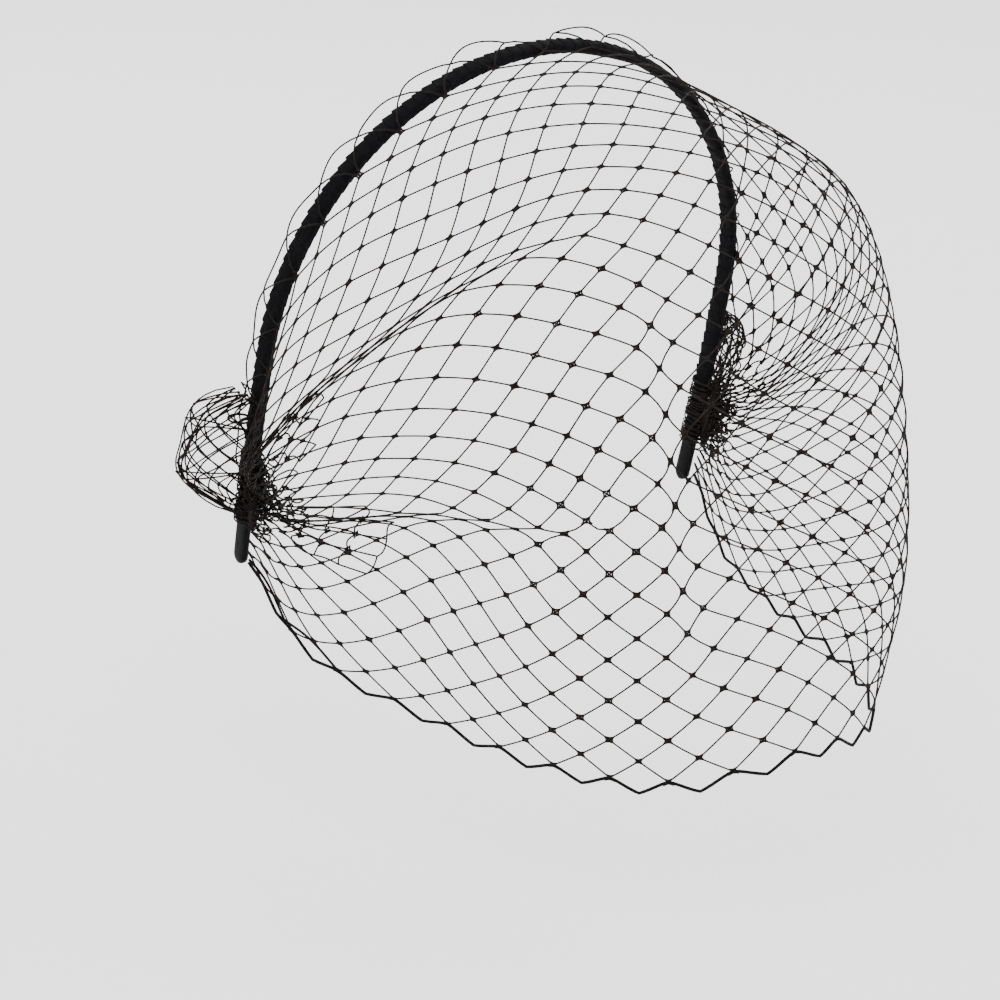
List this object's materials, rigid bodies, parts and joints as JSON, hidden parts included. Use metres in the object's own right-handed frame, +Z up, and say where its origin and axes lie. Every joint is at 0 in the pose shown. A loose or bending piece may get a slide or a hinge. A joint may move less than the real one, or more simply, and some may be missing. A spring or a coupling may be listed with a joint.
{
  "type": "birdcage veil on a headband",
  "caption": "Coarse black net veil on a ribbon-wound headband, gathered at both ends of the band and falling over the brow and face to a corded zigzag edge.",
  "frame": {"origin": "the middle of the headband's underside at the crown, where it sits on the head", "axes": "+Z up, the face looks towards -Y, the wearer's left is +X"},
  "size_m": [0.1848, 0.1421, 0.1783],
  "materials": {
    "band_plastic": "smooth black plastic, bare only at the two tips",
    "ribbon": "matt black ribbon with a fine cross rib",
    "net": "black knotted thread with a faint brown cast",
    "cord": "matt black corded edge"
  },
  "bodies": {
    "root": {"headband_core": "band_plastic", "ribbon_winding": "ribbon", "veil_net": "net", "selvedge_cord": "cord", "gather_left": "net", "gather_right": "net", "net_tail_left": "net", "net_tail_right": "net"}
  },
  "joints": []
}
